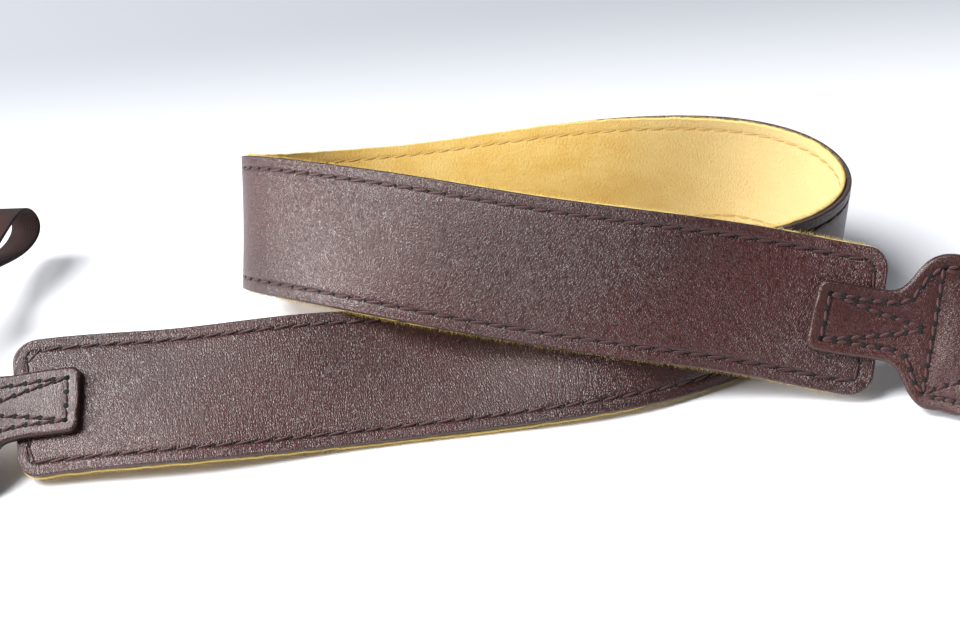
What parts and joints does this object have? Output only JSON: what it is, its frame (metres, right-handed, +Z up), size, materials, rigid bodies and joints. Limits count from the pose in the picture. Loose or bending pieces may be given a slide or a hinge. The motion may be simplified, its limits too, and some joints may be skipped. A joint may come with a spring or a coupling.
{
  "type": "camera neck strap",
  "caption": "Camera neck strap with a wide suede-lined leather band, stitched leather connectors and fold-over webbing ends, lying in a loose loop",
  "frame": {"origin": "middle of the footprint, on the table", "axes": "+X along the strap's spread from its left end to its right end, +Y away from the viewer, +Z up"},
  "size_m": [0.4636, 0.142, 0.0548],
  "materials": {
    "grain_leather": "fine pebble grain, dark brown, soft sheen",
    "suede_lining": "matt yellow suede, raised nap",
    "smooth_leather": "smooth dark brown, light polish, stitched",
    "woven_webbing": "plain dense weave, dark brown",
    "moulded_plastic": "satin, very dark brown"
  },
  "bodies": {
    "root": {"band_leather": "grain_leather", "band_lining": "suede_lining", "connector_left": "smooth_leather", "connector_right": "smooth_leather", "webbing_left": "woven_webbing", "webbing_right": "woven_webbing", "slider_left": "moulded_plastic", "slider_right": "moulded_plastic"}
  },
  "joints": []
}
